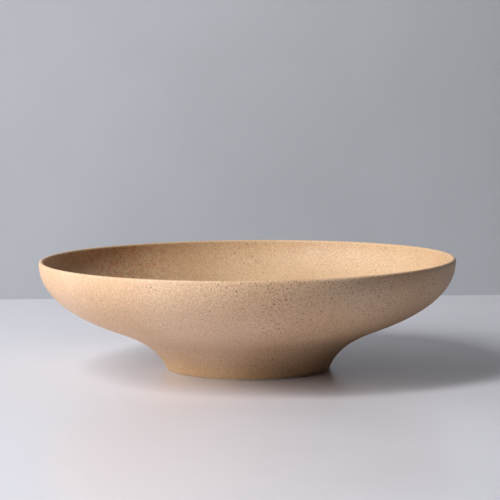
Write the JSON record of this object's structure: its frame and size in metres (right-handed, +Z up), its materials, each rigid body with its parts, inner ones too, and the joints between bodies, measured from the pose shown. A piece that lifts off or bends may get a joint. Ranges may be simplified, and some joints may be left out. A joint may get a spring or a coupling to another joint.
{
  "type": "shallow bowl",
  "caption": "Wide shallow stoneware bowl with a thin rounded lip, an S-curved wall and a hollow tapered foot, in a speckled sand glaze.",
  "frame": {"origin": "on the table, at the centre of the foot", "axes": "+Z up along the bowl's axis; X and Y are level and alike, since the bowl is round"},
  "size_m": [0.3, 0.3, 0.0806],
  "materials": {
    "body_clay": "bare fired stoneware, matt and gritty",
    "liner_glaze": "satin-matt sand glaze with iron specks",
    "outer_glaze": "satin-matt sand glaze with iron specks"
  },
  "bodies": {
    "root": {"bowl_body": "body_clay", "foot_ring": "body_clay", "luting_slip": "body_clay", "seam_coil": "body_clay", "liner_glaze": "liner_glaze", "outer_glaze": "outer_glaze"}
  },
  "joints": []
}
